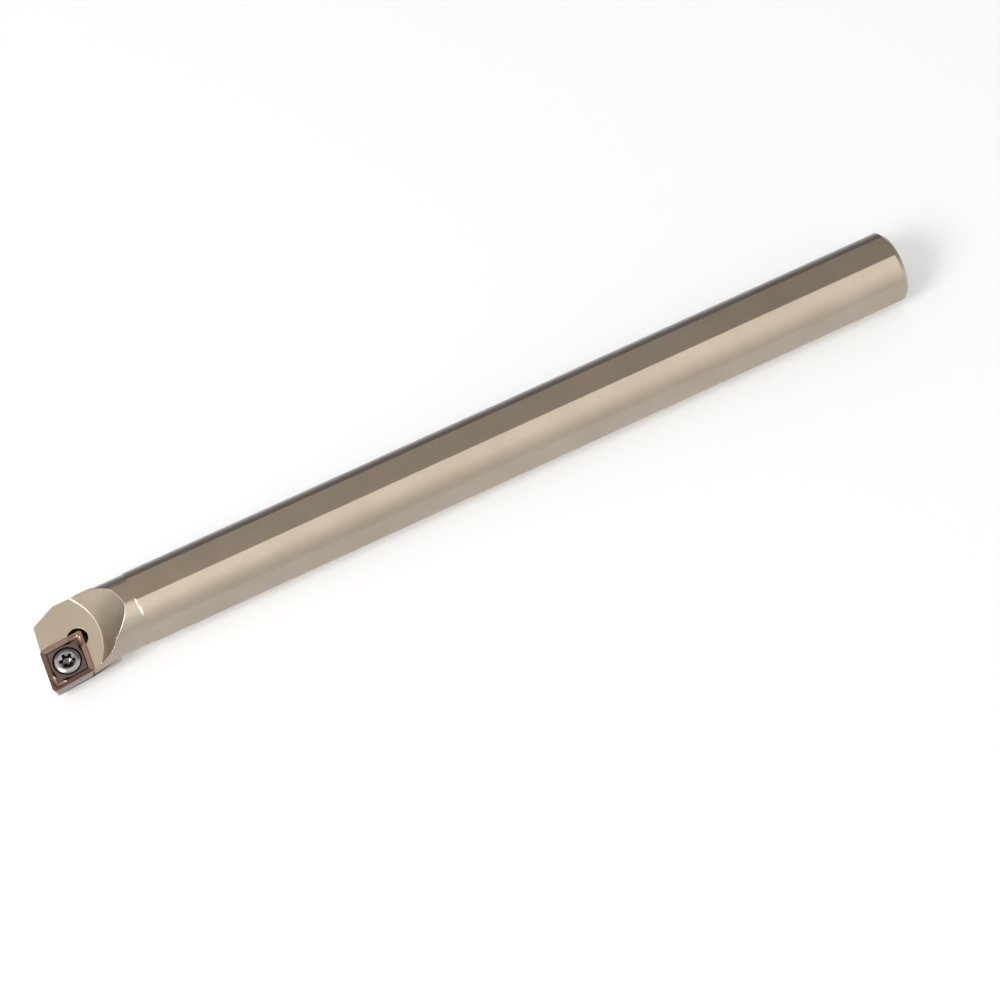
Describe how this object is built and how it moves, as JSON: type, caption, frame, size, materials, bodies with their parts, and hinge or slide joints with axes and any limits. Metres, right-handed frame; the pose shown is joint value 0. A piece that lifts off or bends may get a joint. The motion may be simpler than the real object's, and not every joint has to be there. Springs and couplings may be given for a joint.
{
  "type": "indexable boring bar",
  "caption": "Right-hand steel boring bar with a round flatted shank, a chip gullet and a screwed-on rhombic cutting insert.",
  "frame": {"origin": "centre of the shank's back face, on the shank's axis", "axes": "+X along the shank's axis, out of its back face and away from the cutting head; +Z square to the top flat, on the side of the rake face; the cutting tip is on the -Y side"},
  "size_m": [0.2032, 0.0182, 0.0148],
  "materials": {
    "bar_steel": "satin",
    "insert_coating": "satin",
    "screw_steel": "satin"
  },
  "bodies": {
    "root": {"bar_body": "bar_steel", "cutting_insert": "insert_coating", "insert_screw": "screw_steel"}
  },
  "joints": []
}
